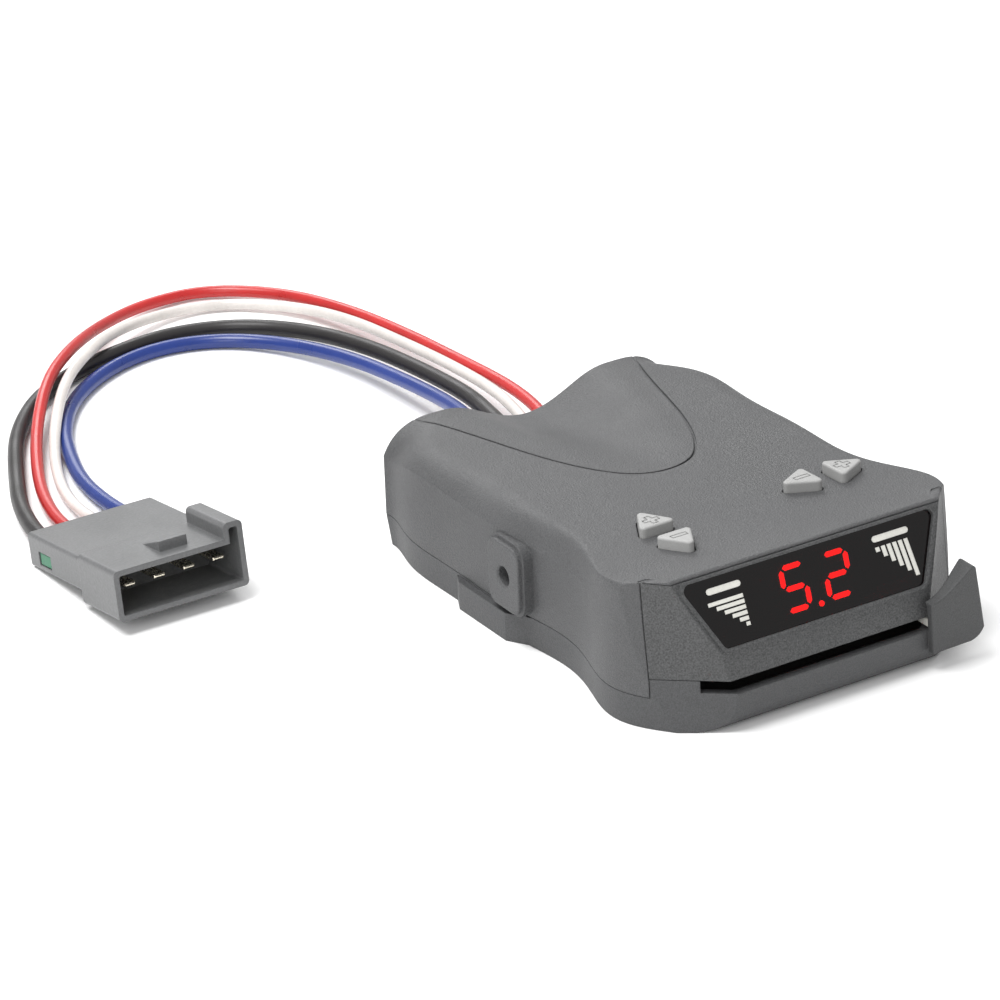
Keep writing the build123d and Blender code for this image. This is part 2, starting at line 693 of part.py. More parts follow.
# ---------------------------------------------------------------- electronics
BOARD_POSTS = [(-26, 38), (26, 38), (-26, -28), (24, -28)]
BOARD_TOP = MAIN_BOARD_Z + BOARD
LEAD_X = (-3.0, 2.3, 7.7, 13.0)
LEAD_Z = 12.5
LUG_Y = 41.0


def make_main_board():
    """Main circuit board on four posts."""
    board = rounded_block(-30, 30, -33, 45, MAIN_BOARD_Z, BOARD_TOP, 1.5)
    for x, y in BOARD_POSTS:
        board = board - rod(1.5, (x, y, 0), (x, y, 10))
    return board - box(24, 31, -34, -31.6, 0, 20)


def make_control_board():
    """Upper circuit board for the buttons and the display."""
    return rounded_block(-31, 31, -45.2, -14, CONTROL_BOARD_Z, CONTROL_BOARD_Z + BOARD, 1.0)


def make_board_header():
    """Pin header between the two boards."""
    pitch = 2.54
    count = 8
    first = -pitch * (count - 1) / 2
    header = box(first - 1.3, -first + 1.3, -31.0, -28.5, BOARD_TOP, BOARD_TOP + 2.5)
    for index in range(count):
        x = first + index * pitch
        header = header + box(x - 0.32, x + 0.32, -30.05, -29.45, BOARD_TOP, CONTROL_BOARD_Z)
    return header


def make_microcontroller():
    """Flat processor chip with leads on its four sides."""
    x, y, half = -8.0, -8.0, 4.5
    chip = box(x - half, x + half, y - half, y + half, BOARD_TOP + 0.15, BOARD_TOP + 1.5)
    for index in range(8):
        step = -3.5 + index
        chip = chip + box(x - 5.6, x + 5.6, y + step - 0.2, y + step + 0.2, BOARD_TOP, BOARD_TOP + 0.3)
        chip = chip + box(x + step - 0.2, x + step + 0.2, y - 5.6, y + 5.6, BOARD_TOP, BOARD_TOP + 0.3)
    return chip


def make_driver_chips():
    """Two small driver chips."""
    chips = []
    for y in (-9.0, 4.0):
        x = 9.0
        chip = box(x - 2, x + 2, y - 2.5, y + 2.5, BOARD_TOP + 0.15, BOARD_TOP + 1.6)
        for index in range(4):
            step = -1.9 + 1.27 * index
            chip = chip + box(x - 3.1, x + 3.1, y + step - 0.2, y + step + 0.2, BOARD_TOP, BOARD_TOP + 0.3)
        chips.append(chip)
    return solids_of(*chips)


def make_heat_spreader():
    """Aluminium plate under the power transistors."""
    plate = rounded_block(13, 28.5, 5, 34, BOARD_TOP, BOARD_TOP + 2.5, 1.0)
    for y in TRANSISTOR_Y:
        plate = plate - rod(1.3, (26.0, y, 0), (26.0, y, 20))
    return plate


TRANSISTOR_Y = (9.5, 19.5, 29.5)


def make_power_transistors():
    """Three flat-mounted power transistors with their legs."""
    base = BOARD_TOP + 2.5
    parts = []
    for y in TRANSISTOR_Y:
        part = box(13.5, 22.5, y - 4.6, y + 4.6, base, base + 4.4)
        part = part + box(22.5, 28.3, y - 4.6, y + 4.6, base, base + 1.3)
        part = part - rod(1.6, (26.0, y, base - 1), (26.0, y, base + 3))
        for dy in (-2.54, 0, 2.54):
            part = part + box(10.6, 13.6, y + dy - 0.4, y + dy + 0.4, base + 2.0, base + 2.6)
            part = part + box(10.6, 11.2, y + dy - 0.4, y + dy + 0.4, BOARD_TOP, base + 2.6)
        parts.append(part)
    return solids_of(*parts)


def screw(x, y, seat_z, tip_z, shank_r, head_r, head_h):
    """A pan-head screw with a cross recess, its head on the side of seat_z away from the tip."""
    sign = 1 if seat_z > tip_z else -1
    head_z = seat_z + sign * head_h
    shape = rod(shank_r, (x, y, tip_z), (x, y, seat_z)) + rod(head_r, (x, y, seat_z), (x, y, head_z))
    low, high = sorted((head_z, head_z - sign * head_h * 0.5))
    for a, b in ((head_r * 0.6, 0.35), (0.35, head_r * 0.6)):
        shape = shape - box(x - a, x + a, y - b, y + b, low - EPS, high + EPS)
    return shape


def make_transistor_screws():
    """Screws that clamp the transistor tabs."""
    base = BOARD_TOP + 2.5 + 1.3
    return solids_of(*[screw(26.0, y, base, BOARD_TOP + 0.3, 1.25, 2.4, 1.5) for y in TRANSISTOR_Y])


def make_board_screws():
    """Screws that hold the main board to the cover."""
    return solids_of(*[screw(x, y, BOARD_TOP, WALL + 0.8, 1.2, 2.5, 1.5) for x, y in BOARD_POSTS])


def make_housing_screws():
    """Screws that hold the two shells together."""
    return solids_of(*[screw(x, y, SCREW_SEAT_Z, 17.0, 1.3, 2.9, 2.2) for x, y in SCREW_POSTS])


def make_filter_capacitors():
    """Two upright electrolytic capacitors."""
    cans = []
    for y in (10.0, 24.0):
        can = rod(5.5, (-20, y, BOARD_TOP), (-20, y, BOARD_TOP + 15))
        ring = rod(5.6, (-20, y, BOARD_TOP + 2.0), (-20, y, BOARD_TOP + 2.8)) - rod(
            5.2, (-20, y, BOARD_TOP + 2.0), (-20, y, BOARD_TOP + 2.8))
        cans.append(can - ring)
    return solids_of(*cans)


def make_current_shunt():
    """Heavy wire strap that measures the output current."""
    strap = box(-4, 8, 24, 26.5, BOARD_TOP, BOARD_TOP + 6)
    return strap - box(-2.8, 6.8, 23, 28, BOARD_TOP - 1, BOARD_TOP + 4.8)


def make_protection_diodes():
    """Two axial diodes across the output."""
    diodes = []
    for y in (8.0, 14.0):
        body = rod(2.3, (-6, y, BOARD_TOP + 2.6), (2, y, BOARD_TOP + 2.6))
        lead = rod(0.5, (-9, y, BOARD_TOP + 2.6), (5, y, BOARD_TOP + 2.6))
        legs = [rod(0.5, (x, y, BOARD_TOP), (x, y, BOARD_TOP + 3.0)) for x in (-9, 5)]
        diodes.append(body + lead + legs[0] + legs[1])
    return solids_of(*diodes)


def make_wire_lugs():
    """Four board terminals for the incoming wires."""
    lugs = []
    for x in LEAD_X:
        lug = box(x - 1.6, x + 1.6, LUG_Y - 3, LUG_Y, BOARD_TOP, LEAD_Z + 2)
        lugs.append(lug)
    return solids_of(*lugs)


def make_inner_leads():
    """Short insulated tails between the board terminals and the wire exit."""
    return solids_of(*[rod(1.3, (x, LUG_Y, LEAD_Z), (x, RELIEF_IN_Y, LEAD_Z)) for x in LEAD_X])


# ---------------------------------------------------------------- wires
RELIEF_IN_Y = 56.6
RELIEF_OUT_Y = 61.6


def make_wire_strain_relief():
    """Rubber block in the rear wall with a flange outside and one inside."""
    low, high = RELIEF_Z
    left, right = RELIEF_X - RELIEF_HALF + EPS, RELIEF_X + RELIEF_HALF - EPS
    body = box(left, right, RELIEF_IN_Y, RELIEF_OUT_Y, low + EPS, high - EPS)
    plane = Plane(origin=(RELIEF_X, REAR_Y + 0.05, (low + high) / 2), x_dir=(1, 0, 0), z_dir=(0, 1, 0))
    flange = extrude(plane * RectangleRounded(26.4, 9.6, 1.6), amount=RELIEF_OUT_Y - REAR_Y - 0.05)
    return body + flange


# Connector frame: lower front left corner of the shroud, tipped back so that its tail rests
# on the ground.
CONNECTOR_AT = (-111.0, 54.0, 3.62)
CONNECTOR_TIP = -8.5
CONNECTOR_WIDTH = 33.0
CONNECTOR_HEIGHT = 11.9
CONNECTOR_LENGTH = 43.6
SHROUD_LENGTH = 17.8
SHROUD_WALL = 1.3
TAIL_LIFT = 2.87              # the tail is this much higher than the shroud's underside
TAIL_TOP = 11.1
TOWER_WIDTH = 4.8
TOWER_TOP = 15.6
TERMINAL_X = (5.2, 12.7, 20.2, 27.7)
TERMINAL_Z = 7.0
CONNECTOR = Location(CONNECTOR_AT, (CONNECTOR_TIP, 0, 0))


def make_connector_shell():
    """Keyed shroud in front, solid tail behind with four wire cavities and a latch ramp."""
    w, h, t = CONNECTOR_WIDTH, CONNECTOR_HEIGHT, SHROUD_WALL
    shroud = rounded_side(0, w, 0, SHROUD_LENGTH, 0, h, 1.2)
    tail = rounded_side(0.3, w - 0.3, SHROUD_LENGTH - 1, CONNECTOR_LENGTH, TAIL_LIFT, TAIL_TOP, 0.9)
    tower = rounded_side(w - TOWER_WIDTH, w, 0, SHROUD_LENGTH, 2.0, TOWER_TOP, 1.2)
    ridge = rounded_side(w - TOWER_WIDTH, w - 0.3, SHROUD_LENGTH - 1, SHROUD_LENGTH + 9, 6, TOWER_TOP - 2.6, 1.0)
    shell = shroud + tail + tower
    mouth = rounded_side(t, w - t, -1, SHROUD_LENGTH - 1.5, t, h - t, 0.6)
    tower_mouth = rounded_side(w - TOWER_WIDTH + t, w - t, -1, SHROUD_LENGTH - 1.5, 2.6, TOWER_TOP - t, 0.6)
    shell = shell - mouth - tower_mouth
    for x in TERMINAL_X:
        shell = shell - box(x - 2.3, x + 2.3, SHROUD_LENGTH - 3, CONNECTOR_LENGTH + 1, TERMINAL_Z - 2.3, TERMINAL_Z + 2.3)
    shell = shell - box(-1, 4.0, 33.0, 39.0, 4.4, 7.6)
    ramp = make_face(Polyline([(4.2, h - 0.2), (13.0, h - 0.2), (4.6, h + 2.4), (4.2, h + 2.4), (4.2, h - 0.2)]))
    latch = extrude(Plane(origin=(14.0, 0, 0), x_dir=(0, 1, 0), z_dir=(1, 0, 0)) * ramp, amount=7.0)
    return shell + latch


def rounded_side(x0, x1, y0, y1, z0, z1, radius):
    """A block with its four long edges, along Y, rounded."""
    plane = Plane(origin=((x0 + x1) / 2, y0, (z0 + z1) / 2), x_dir=(1, 0, 0), z_dir=(0, 1, 0))
    return extrude(plane * RectangleRounded(x1 - x0, z1 - z0, radius), amount=y1 - y0)


def make_connector_lock():
    """Secondary lock bar, seen in the side slot of the tail."""
    return box(0.5, 2.6, 33.4, 38.6, 4.6, 7.4)


def make_terminal(x):
    """One male blade with its crimp barrel."""
    blade = box(x - 1.4, x + 1.4, 3.0, SHROUD_LENGTH + 4, TERMINAL_Z - 0.4, TERMINAL_Z + 0.4)
    blade = blade.chamfer(0.3, None, blade.faces().sort_by(Axis.Y)[0].edges())
    crimp = rounded_side(x - 2.0, x + 2.0, SHROUD_LENGTH + 3, CONNECTOR_LENGTH - 6, TERMINAL_Z - 2.0, TERMINAL_Z + 2.0, 0.8)
    return blade + crimp


# name: (diameter, exit x, terminal index, route between the strain relief and the connector)
WIRES = {
    "wire_red": (3.0, 13.0, 1, [
        (13, 70.8, 12.5), (16.4, 83, 12.1), (18.6, 99, 11), (19.4, 122, 8.8), (20, 148, 6.4),
        (18.4, 174, 4.2), (12.5, 196.5, 2.4), (-2, 212, 1.6), (-20, 212, 2), (-38, 201.5, 4.4),
        (-53.5, 187.5, 7.2), (-66.5, 174.5, 7.2), (-79, 156.5, 4.2), (-89, 137, 2), (-95.5, 119, 2.2),
    ]),
    "wire_white": (2.8, 7.7, 2, [
        (7.7, 70.8, 12.5), (11.2, 83, 12.1), (14.6, 98, 10.8), (16.4, 120, 8.6), (16.8, 144, 6.2),
        (15.8, 169, 4), (10.6, 187.5, 2.2), (-2, 201.5, 1.5), (-18.5, 204, 2), (-36, 196.5, 4.4),
        (-50.5, 183.5, 7.2), (-63.5, 171, 7.2), (-75.5, 154, 4.2), (-85, 135, 2), (-90, 118, 2.2),
    ]),
    "wire_black": (4.0, 2.3, 0, [
        (2.3, 71, 12.5), (5.4, 84, 11.5), (9.2, 101, 9.8), (10.2, 124, 7.6), (9.6, 147, 5.4),
        (5.4, 168, 3.4), (-5, 184.5, 2), (-20.5, 191, 2), (-37, 190, 2), (-54, 185, 2),
        (-70, 175.5, 2), (-83.5, 159, 2), (-93.5, 139, 2), (-101.5, 121, 2.4),
    ]),
    "wire_blue": (3.6, -3.0, 3, [
        (-3, 71, 12.5), (0.2, 83.5, 11.2), (4, 101, 8.9), (4.8, 122, 6.6), (3.6, 146, 4.4),
        (-2.6, 167, 2.6), (-14, 181, 1.8), (-29.5, 186, 1.8), (-45, 182.5, 1.8), (-60, 172.5, 1.8),
        (-71, 158, 1.8), (-77.7, 142, 1.8), (-82, 127, 1.8), (-83.3, 112, 2.6),
    ]),
}


def connector_point(x, y, z):
    """A point of the connector's own frame, in the common frame."""
    return (CONNECTOR * Location((x, y, z))).position


def make_wire(name):
    """One insulated wire: straight runs joined by the largest tangent arcs they allow."""
    diameter, exit_x, terminal, between = WIRES[name]
    start = Vector(exit_x, RELIEF_OUT_Y, LEAD_Z)
    end = connector_point(TERMINAL_X[terminal], CONNECTOR_LENGTH - 6, TERMINAL_Z)
    last = connector_point(TERMINAL_X[terminal], CONNECTOR_LENGTH + 4, TERMINAL_Z)
    points = [start] + [Vector(*point) for point in between] + [last, end]
    radii = []
    for before, corner, after in zip(points, points[1:], points[2:]):
        turn = math.radians((corner - before).get_angle(after - corner))
        shorter = min((corner - before).length, (after - corner).length)
        radii.append(0.45 * shorter / math.tan(turn / 2))
    path = FilletPolyline(points, radius=radii)
    profile = Plane(origin=start, z_dir=path % 0) * Circle(diameter / 2)
    tube = sweep(profile, path=path)
    expected = math.pi * diameter * diameter / 4 * path.length
    print(name, "length", round(path.length, 1), "volume ratio", round(tube.volume / expected, 4),
          "least radius", round(min(radii), 1), "radii", [round(radius) for radius in radii])
    return tube


# ---------------------------------------------------------------- write every sub-part
save(make_top_housing(), "top_housing")
save(make_bottom_cover(), "bottom_cover")
save(make_front_bezel(), "front_bezel")
save(make_display_lens(), "display_lens")
save(make_display_module(), "display_module")
save(make_segments(True), "lit_segments")
save(make_segments(False), "dark_segments")
save(make_display_board(), "display_board")
save(make_control_board(), "control_board")
save(make_switch_bodies(), "button_switches")
for button in BUTTONS:
    save(make_button(button), button + "_button")
    save(make_plunger(button), button + "_plunger")
save(make_main_board(), "main_board")
save(make_board_header(), "board_link_header")
save(make_microcontroller(), "microcontroller")
save(make_driver_chips(), "driver_chips")
save(make_heat_spreader(), "heat_spreader")
save(make_power_transistors(), "power_transistors")
save(make_transistor_screws(), "transistor_screws")
save(make_filter_capacitors(), "filter_capacitors")
save(make_current_shunt(), "current_shunt")
save(make_protection_diodes(), "protection_diodes")
save(make_wire_lugs(), "wire_lugs")
save(make_inner_leads(), "inner_leads")
save(make_board_screws(), "board_screws")
save(make_housing_screws(), "housing_screws")
save(make_slider_track(), "slider_track")
save(make_slider_guide_rod(), "slider_guide_rod")
save(make_slider_wiper(), "slider_wiper")
save(make_slider_carriage(), "slider_carriage")
save(make_slider_knob(), "slider_knob")
save(make_return_spring(), "return_spring")
save(make_spring_post(), "spring_post")
save(make_wire_strain_relief(), "wire_strain_relief")
save(CONNECTOR * make_connector_shell(), "connector_shell")
save(CONNECTOR * make_connector_lock(), "connector_lock")
save(CONNECTOR * solids_of(*[make_terminal(x) for x in TERMINAL_X]), "connector_terminals")
for wire in WIRES:
    save(make_wire(wire), wire)
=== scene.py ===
"""Looks of the brake controller unit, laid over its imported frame. Metres, +Z up, display towards -Y."""
import json
import math

import bmesh
import bpy
from mathutils import Matrix, Vector


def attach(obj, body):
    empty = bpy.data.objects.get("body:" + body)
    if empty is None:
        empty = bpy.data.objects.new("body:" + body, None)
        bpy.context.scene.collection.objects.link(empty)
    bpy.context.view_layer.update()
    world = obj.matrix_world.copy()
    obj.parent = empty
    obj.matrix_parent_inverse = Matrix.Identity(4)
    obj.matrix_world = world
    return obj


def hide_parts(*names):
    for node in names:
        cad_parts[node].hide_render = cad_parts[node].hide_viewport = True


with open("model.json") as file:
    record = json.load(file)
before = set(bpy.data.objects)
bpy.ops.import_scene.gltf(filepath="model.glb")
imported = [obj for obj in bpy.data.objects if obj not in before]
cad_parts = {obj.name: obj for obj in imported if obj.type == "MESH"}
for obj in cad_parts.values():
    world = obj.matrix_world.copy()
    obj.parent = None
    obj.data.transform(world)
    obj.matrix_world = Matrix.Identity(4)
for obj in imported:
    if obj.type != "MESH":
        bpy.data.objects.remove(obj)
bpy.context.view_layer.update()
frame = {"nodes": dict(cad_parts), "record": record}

MM = 0.001
BODY = "housing"

# ---------------------------------------------------------------- camera
CAMERA_AT = (-0.5365, -0.8075, 0.4900)    # metres
CAMERA_TURN = 31.36           # degrees round to the left of the front
CAMERA_RISE = 25.64           # degrees above the horizon
CAMERA_ROLL = -2.01           # degrees
CAMERA_LENS = 174.5           # mm, on the sensor below
CAMERA_SENSOR = 36            # mm wide


def make_camera():
    data = bpy.data.cameras.new("camera")
    data.sensor_width = CAMERA_SENSOR
    data.lens = CAMERA_LENS
    data.clip_start = 0.01
    turn, rise, roll = [math.radians(angle) for angle in (CAMERA_TURN, CAMERA_RISE, CAMERA_ROLL)]
    back = Vector((-math.sin(turn) * math.cos(rise), -math.cos(turn) * math.cos(rise), math.sin(rise)))
    level = Vector((math.cos(turn), -math.sin(turn), 0))
    right = level * math.cos(roll) + back.cross(level) * math.sin(roll)
    axes = Matrix((right, back.cross(right), back)).transposed().to_4x4()
    camera = bpy.data.objects.new("camera", data)
    camera.matrix_world = Matrix.Translation(CAMERA_AT) @ axes
    bpy.context.collection.objects.link(camera)
    bpy.context.scene.camera = camera


# ---------------------------------------------------------------- wires
LEAD_START = (61.6, 12.5)     # y and z of the strain relief's outer face and the lead rows
CONNECTOR_AT = (-111.0, 54.0, 3.62)   # origin of the connector's own frame, mm
CONNECTOR_TIP = 8.5           # degrees, tail down
TERMINAL_X = (5.2, 12.7, 20.2, 27.7)  # the four terminals, in the connector's own frame
TERMINAL_Z = 7.0
TAIL_Y = 47.6                 # where a wire lines up with its terminal
CRIMP_Y = 37.6                # where it meets the crimp barrel

# name: (diameter, exit x, terminal, length, route in mm between the strain relief and the connector)
WIRES = {
    "wire_red": (3.0, 13.0, 1, 324.7, [
        (13, 70.8, 12.5), (16.4, 83, 12.1), (18.6, 99, 11), (19.4, 122, 8.8), (20, 148, 6.4),
        (18.4, 174, 4.2), (12.5, 196.5, 2.4), (-2, 212, 1.6), (-20, 212, 2), (-38, 201.5, 4.4),
        (-53.5, 187.5, 7.2), (-66.5, 174.5, 7.2), (-79, 156.5, 4.2), (-89, 137, 2), (-95.5, 119, 2.2),
    ]),
    "wire_white": (2.8, 7.7, 2, 304.7, [
        (7.7, 70.8, 12.5), (11.2, 83, 12.1), (14.6, 98, 10.8), (16.4, 120, 8.6), (16.8, 144, 6.2),
        (15.8, 169, 4), (10.6, 187.5, 2.2), (-2, 201.5, 1.5), (-18.5, 204, 2), (-36, 196.5, 4.4),
        (-50.5, 183.5, 7.2), (-63.5, 171, 7.2), (-75.5, 154, 4.2), (-85, 135, 2), (-90, 118, 2.2),
    ]),
    "wire_black": (4.0, 2.3, 0, 288.5, [
        (2.3, 71, 12.5), (5.4, 84, 11.5), (9.2, 101, 9.8), (10.2, 124, 7.6), (9.6, 147, 5.4),
        (5.4, 168, 3.4), (-5, 184.5, 2), (-20.5, 191, 2), (-37, 190, 2), (-54, 185, 2),
        (-70, 175.5, 2), (-83.5, 159, 2), (-93.5, 139, 2), (-101.5, 121, 2.4),
    ]),
    "wire_blue": (3.6, -3.0, 3, 260.5, [
        (-3, 71, 12.5), (0.2, 83.5, 11.2), (4, 101, 8.9), (4.8, 122, 6.6), (3.6, 146, 4.4),
        (-2.6, 167, 2.6), (-14, 181, 1.8), (-29.5, 186, 1.8), (-45, 182.5, 1.8), (-60, 172.5, 1.8),
        (-71, 158, 1.8), (-77.7, 142, 1.8), (-82, 127, 1.8), (-83.3, 112, 2.6),
    ]),
}


def connector_point(x, y, z):
    """A point of the tipped connector's own frame, in millimetres of the common frame."""
    tip = math.radians(CONNECTOR_TIP)
    return (
        CONNECTOR_AT[0] + x,
        CONNECTOR_AT[1] + y * math.cos(tip) + z * math.sin(tip),
        CONNECTOR_AT[2] - y * math.sin(tip) + z * math.cos(tip),
    )


def make_wire(name, material):
    """One insulated lead as a smooth spline over the CAD route's points."""
    diameter, exit_x, terminal, length, between = WIRES[name]
    start = (exit_x, *LEAD_START)
    last = connector_point(TERMINAL_X[terminal], TAIL_Y, TERMINAL_Z)
    end = connector_point(TERMINAL_X[terminal], CRIMP_Y, TERMINAL_Z)
    route = [start, *between, last, end]
    data = bpy.data.curves.new(name + "_pvc", "CURVE")
    data.dimensions = "3D"
    data.bevel_depth = diameter * MM / 2
    data.bevel_resolution = 6
    data.resolution_u = 16
    data.use_fill_caps = True
    spline = data.splines.new("NURBS")
    spline.points.add(len(route) - 1)
    for place, point in zip(spline.points, route):
        place.co = (*[value * MM for value in point], 1)
    spline.order_u = 3
    spline.use_endpoint_u = True
    data.materials.append(material)
    wire = bpy.data.objects.new(name + "_pvc", data)
    bpy.context.collection.objects.link(wire)
    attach(wire, BODY)
    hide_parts(name)


# ---------------------------------------------------------------- materials
class Finish:
    """A node material with helpers for grain, colour variation and bump."""

    def __init__(self, name, colour, roughness, metallic=0.0):
        self.material = bpy.data.materials.new(name)
        self.material.use_nodes = True
        self.nodes = self.material.node_tree.nodes
        self.links = self.material.node_tree.links
        self.shader = self.nodes["Principled BSDF"]
        self.colour = colour
        self.roughness = roughness
        self.shader.inputs["Base Color"].default_value = (*colour, 1)
        self.shader.inputs["Roughness"].default_value = roughness
        self.shader.inputs["Metallic"].default_value = metallic
        self.place = self.nodes.new("ShaderNodeTexCoord").outputs["Object"]

    def noise(self, size, detail=3.0):
        """Noise whose features are about this size, in metres."""
        node = self.nodes.new("ShaderNodeTexNoise")
        node.inputs["Scale"].default_value = 1 / size
        node.inputs["Detail"].default_value = detail
        self.links.new(self.place, node.inputs["Vector"])
        return node.outputs["Fac"]

    def cells(self, size):
        """Rounded pebbles of about this size, in metres."""
        node = self.nodes.new("ShaderNodeTexVoronoi")
        node.feature = "SMOOTH_F1"
        node.inputs["Scale"].default_value = 1 / size
        self.links.new(self.place, node.inputs["Vector"])
        return node.outputs["Distance"]

    def between(self, value, low, high, start=0.35, end=0.65):
        """A number that follows value from low at start to high at end."""
        node = self.nodes.new("ShaderNodeMapRange")
        node.inputs["From Min"].default_value = start
        node.inputs["From Max"].default_value = end
        node.inputs["To Min"].default_value = low
        node.inputs["To Max"].default_value = high
        self.links.new(value, node.inputs["Value"])
        return node.outputs["Result"]

    def tinted(self, *shades):
        """Colour varied by (value, share) pairs, each lightening and darkening by its share."""
        current = None
        for value, share in shades:
            factor = self.between(value, 1 - share, 1 + share)
            node = self.nodes.new("ShaderNodeVectorMath")
            node.operation = "SCALE"
            if current is None:
                node.inputs[0].default_value = self.colour
            else:
                self.links.new(current, node.inputs[0])
            self.links.new(factor, node.inputs["Scale"])
            current = node.outputs["Vector"]
        self.links.new(current, self.shader.inputs["Base Color"])

    def worn(self, value, spread):
        """Roughness that wanders by spread."""
        result = self.between(value, self.roughness - spread, self.roughness + spread)
        self.links.new(result, self.shader.inputs["Roughness"])

    def bumped(self, value, height, edge=None):
        """Bump of this height in metres, over edges softened by a radius."""
        node = self.nodes.new("ShaderNodeBump")
        node.inputs["Strength"].default_value = 1.0
        node.inputs["Distance"].default_value = height
        self.links.new(value, node.inputs["Height"])
        if edge:
            soft = self.nodes.new("ShaderNodeBevel")
            soft.samples = 4
            soft.inputs["Radius"].default_value = edge
            self.links.new(soft.outputs["Normal"], node.inputs["Normal"])
        self.links.new(node.outputs["Normal"], self.shader.inputs["Normal"])

    def add(self, first, second):
        """The sum of two values."""
        node = self.nodes.new("ShaderNodeMath")
        node.operation = "ADD"
        self.links.new(first, node.inputs[0])
        self.links.new(second, node.inputs[1])
        return node.outputs["Value"]


TONE_DRIFT = 0.018            # metres over which moulded plastic changes tone
METAL_STREAK = 0.0008         # width of the streaks on metal
METAL_DULLING = 0.006         # size of its dull areas
GRIME_SIZE = 0.011            # handling grime along a wire
SKIN_SIZE = 0.0009            # drawn waviness of its insulation
SMUDGE_SIZE = 0.009           # smudges on the display window
WINDOW_IOR = 1.45
TRACK_SIZE = 0.003            # copper tracks under the solder mask
WEAVE_SIZE = 0.0006           # glass weave of a board


def moulded(name, colour, roughness, grain, height, speckle, edge=0.0004):
    """Moulded plastic with a pebbled grain, tone drift and softened edges."""
    finish = Finish(name, colour, roughness)
    pebbles = finish.cells(grain)
    fine = finish.noise(grain * 0.6, 4)
    drift = finish.noise(TONE_DRIFT, 2)
    finish.tinted((fine, speckle), (drift, 0.05))
    finish.worn(drift, 0.05)
    finish.bumped(finish.add(pebbles, fine), height, edge)
    return finish.material


def metal(name, colour, roughness):
    """Bare or plated metal with fine streaks and a dull drift."""
    finish = Finish(name, colour, roughness, 1.0)
    streaks = finish.noise(METAL_STREAK, 5)
    drift = finish.noise(METAL_DULLING, 2)
    finish.tinted((drift, 0.10), (streaks, 0.06))
    finish.worn(streaks, 0.08)
    finish.bumped(streaks, 0.00001, edge=0.0002)
    return finish.material


def insulation(name, colour, roughness):
    """Extruded PVC: soft gloss, faint drawn waviness and a little handling grime."""
    finish = Finish(name, colour, roughness)
    grime = finish.noise(GRIME_SIZE, 4)
    skin = finish.noise(SKIN_SIZE, 3)
    finish.tinted((grime, 0.07), (skin, 0.03))
    finish.worn(grime, 0.07)
    finish.bumped(finish.add(grime, skin), 0.00004)
    finish.shader.inputs["Coat Weight"].default_value = 0.15
    finish.shader.inputs["Coat Roughness"].default_value = 0.25
    return finish.material


def tinted_glass(name, colour):
    """Dark glossy display window that lets the lit segments through."""
    finish = Finish(name, colour, 0.07)
    finish.shader.inputs["Transmission Weight"].default_value = 1.0
    finish.shader.inputs["IOR"].default_value = WINDOW_IOR
    finish.worn(finish.noise(SMUDGE_SIZE, 3), 0.03)
    return finish.material


def glowing(name, colour, strength):
    """Lit display segment with a slightly uneven glow."""
    finish = Finish(name, colour, 0.5)
    uneven = finish.between(finish.noise(0.002, 2), strength * 0.9, strength * 1.1)
    finish.shader.inputs["Emission Color"].default_value = (*colour, 1)
    finish.links.new(uneven, finish.shader.inputs["Emission Strength"])
    return finish.material


def circuit(name, colour):
    """Solder-masked board with faint copper tracks under the mask."""
    finish = Finish(name, colour, 0.35)
    tracks = finish.cells(TRACK_SIZE)
    weave = finish.noise(WEAVE_SIZE, 2)
    finish.tinted((tracks, 0.22), (weave, 0.08))
    finish.worn(weave, 0.05)
    finish.bumped(tracks, 0.00003)
    return finish.material


# slot: (colour, roughness, grain size, bump height, speckle share), and for the buttons the edge radius
MOULDED = {
    "housing_plastic": ((0.072, 0.073, 0.075), 0.55, 0.00045, 0.00011, 0.24),
    "cover_plastic": ((0.060, 0.061, 0.063), 0.55, 0.0005, 0.00007, 0.24),
    "bezel_plastic": ((0.062, 0.063, 0.064), 0.55, 0.0006, 0.00016, 0.4),
    "knob_plastic": ((0.050, 0.051, 0.052), 0.55, 0.0004, 0.00007, 0.2),
    "button_grey": ((0.34, 0.34, 0.335), 0.5, 0.0003, 0.00003, 0.07, 0.0006),
    "connector_plastic": ((0.120, 0.122, 0.124), 0.36, 0.0009, 0.00003, 0.10),
    "lock_green": ((0.010, 0.150, 0.070), 0.4, 0.0006, 0.00002, 0.1),
    "nylon_white": ((0.70, 0.69, 0.64), 0.45, 0.0006, 0.00002, 0.05),
    "switch_black": ((0.018, 0.018, 0.019), 0.5, 0.0004, 0.00002, 0.1),
    "plunger_plastic": ((0.30, 0.30, 0.29), 0.5, 0.0004, 0.00002, 0.1),
    "module_plastic": ((0.003, 0.003, 0.003), 0.5, 0.0004, 0.00002, 0.1),
    "chip_black": ((0.020, 0.020, 0.021), 0.5, 0.0003, 0.00002, 0.12),
    "header_black": ((0.022, 0.022, 0.022), 0.5, 0.0004, 0.00002, 0.1),
    "capacitor_sleeve": ((0.015, 0.020, 0.060), 0.3, 0.001, 0.00001, 0.05),
    "black_rubber": ((0.020, 0.020, 0.021), 0.7, 0.0005, 0.00005, 0.15),
    "unlit_red": ((0.020, 0.004, 0.004), 0.5, 0.0004, 0.00001, 0.1),
}

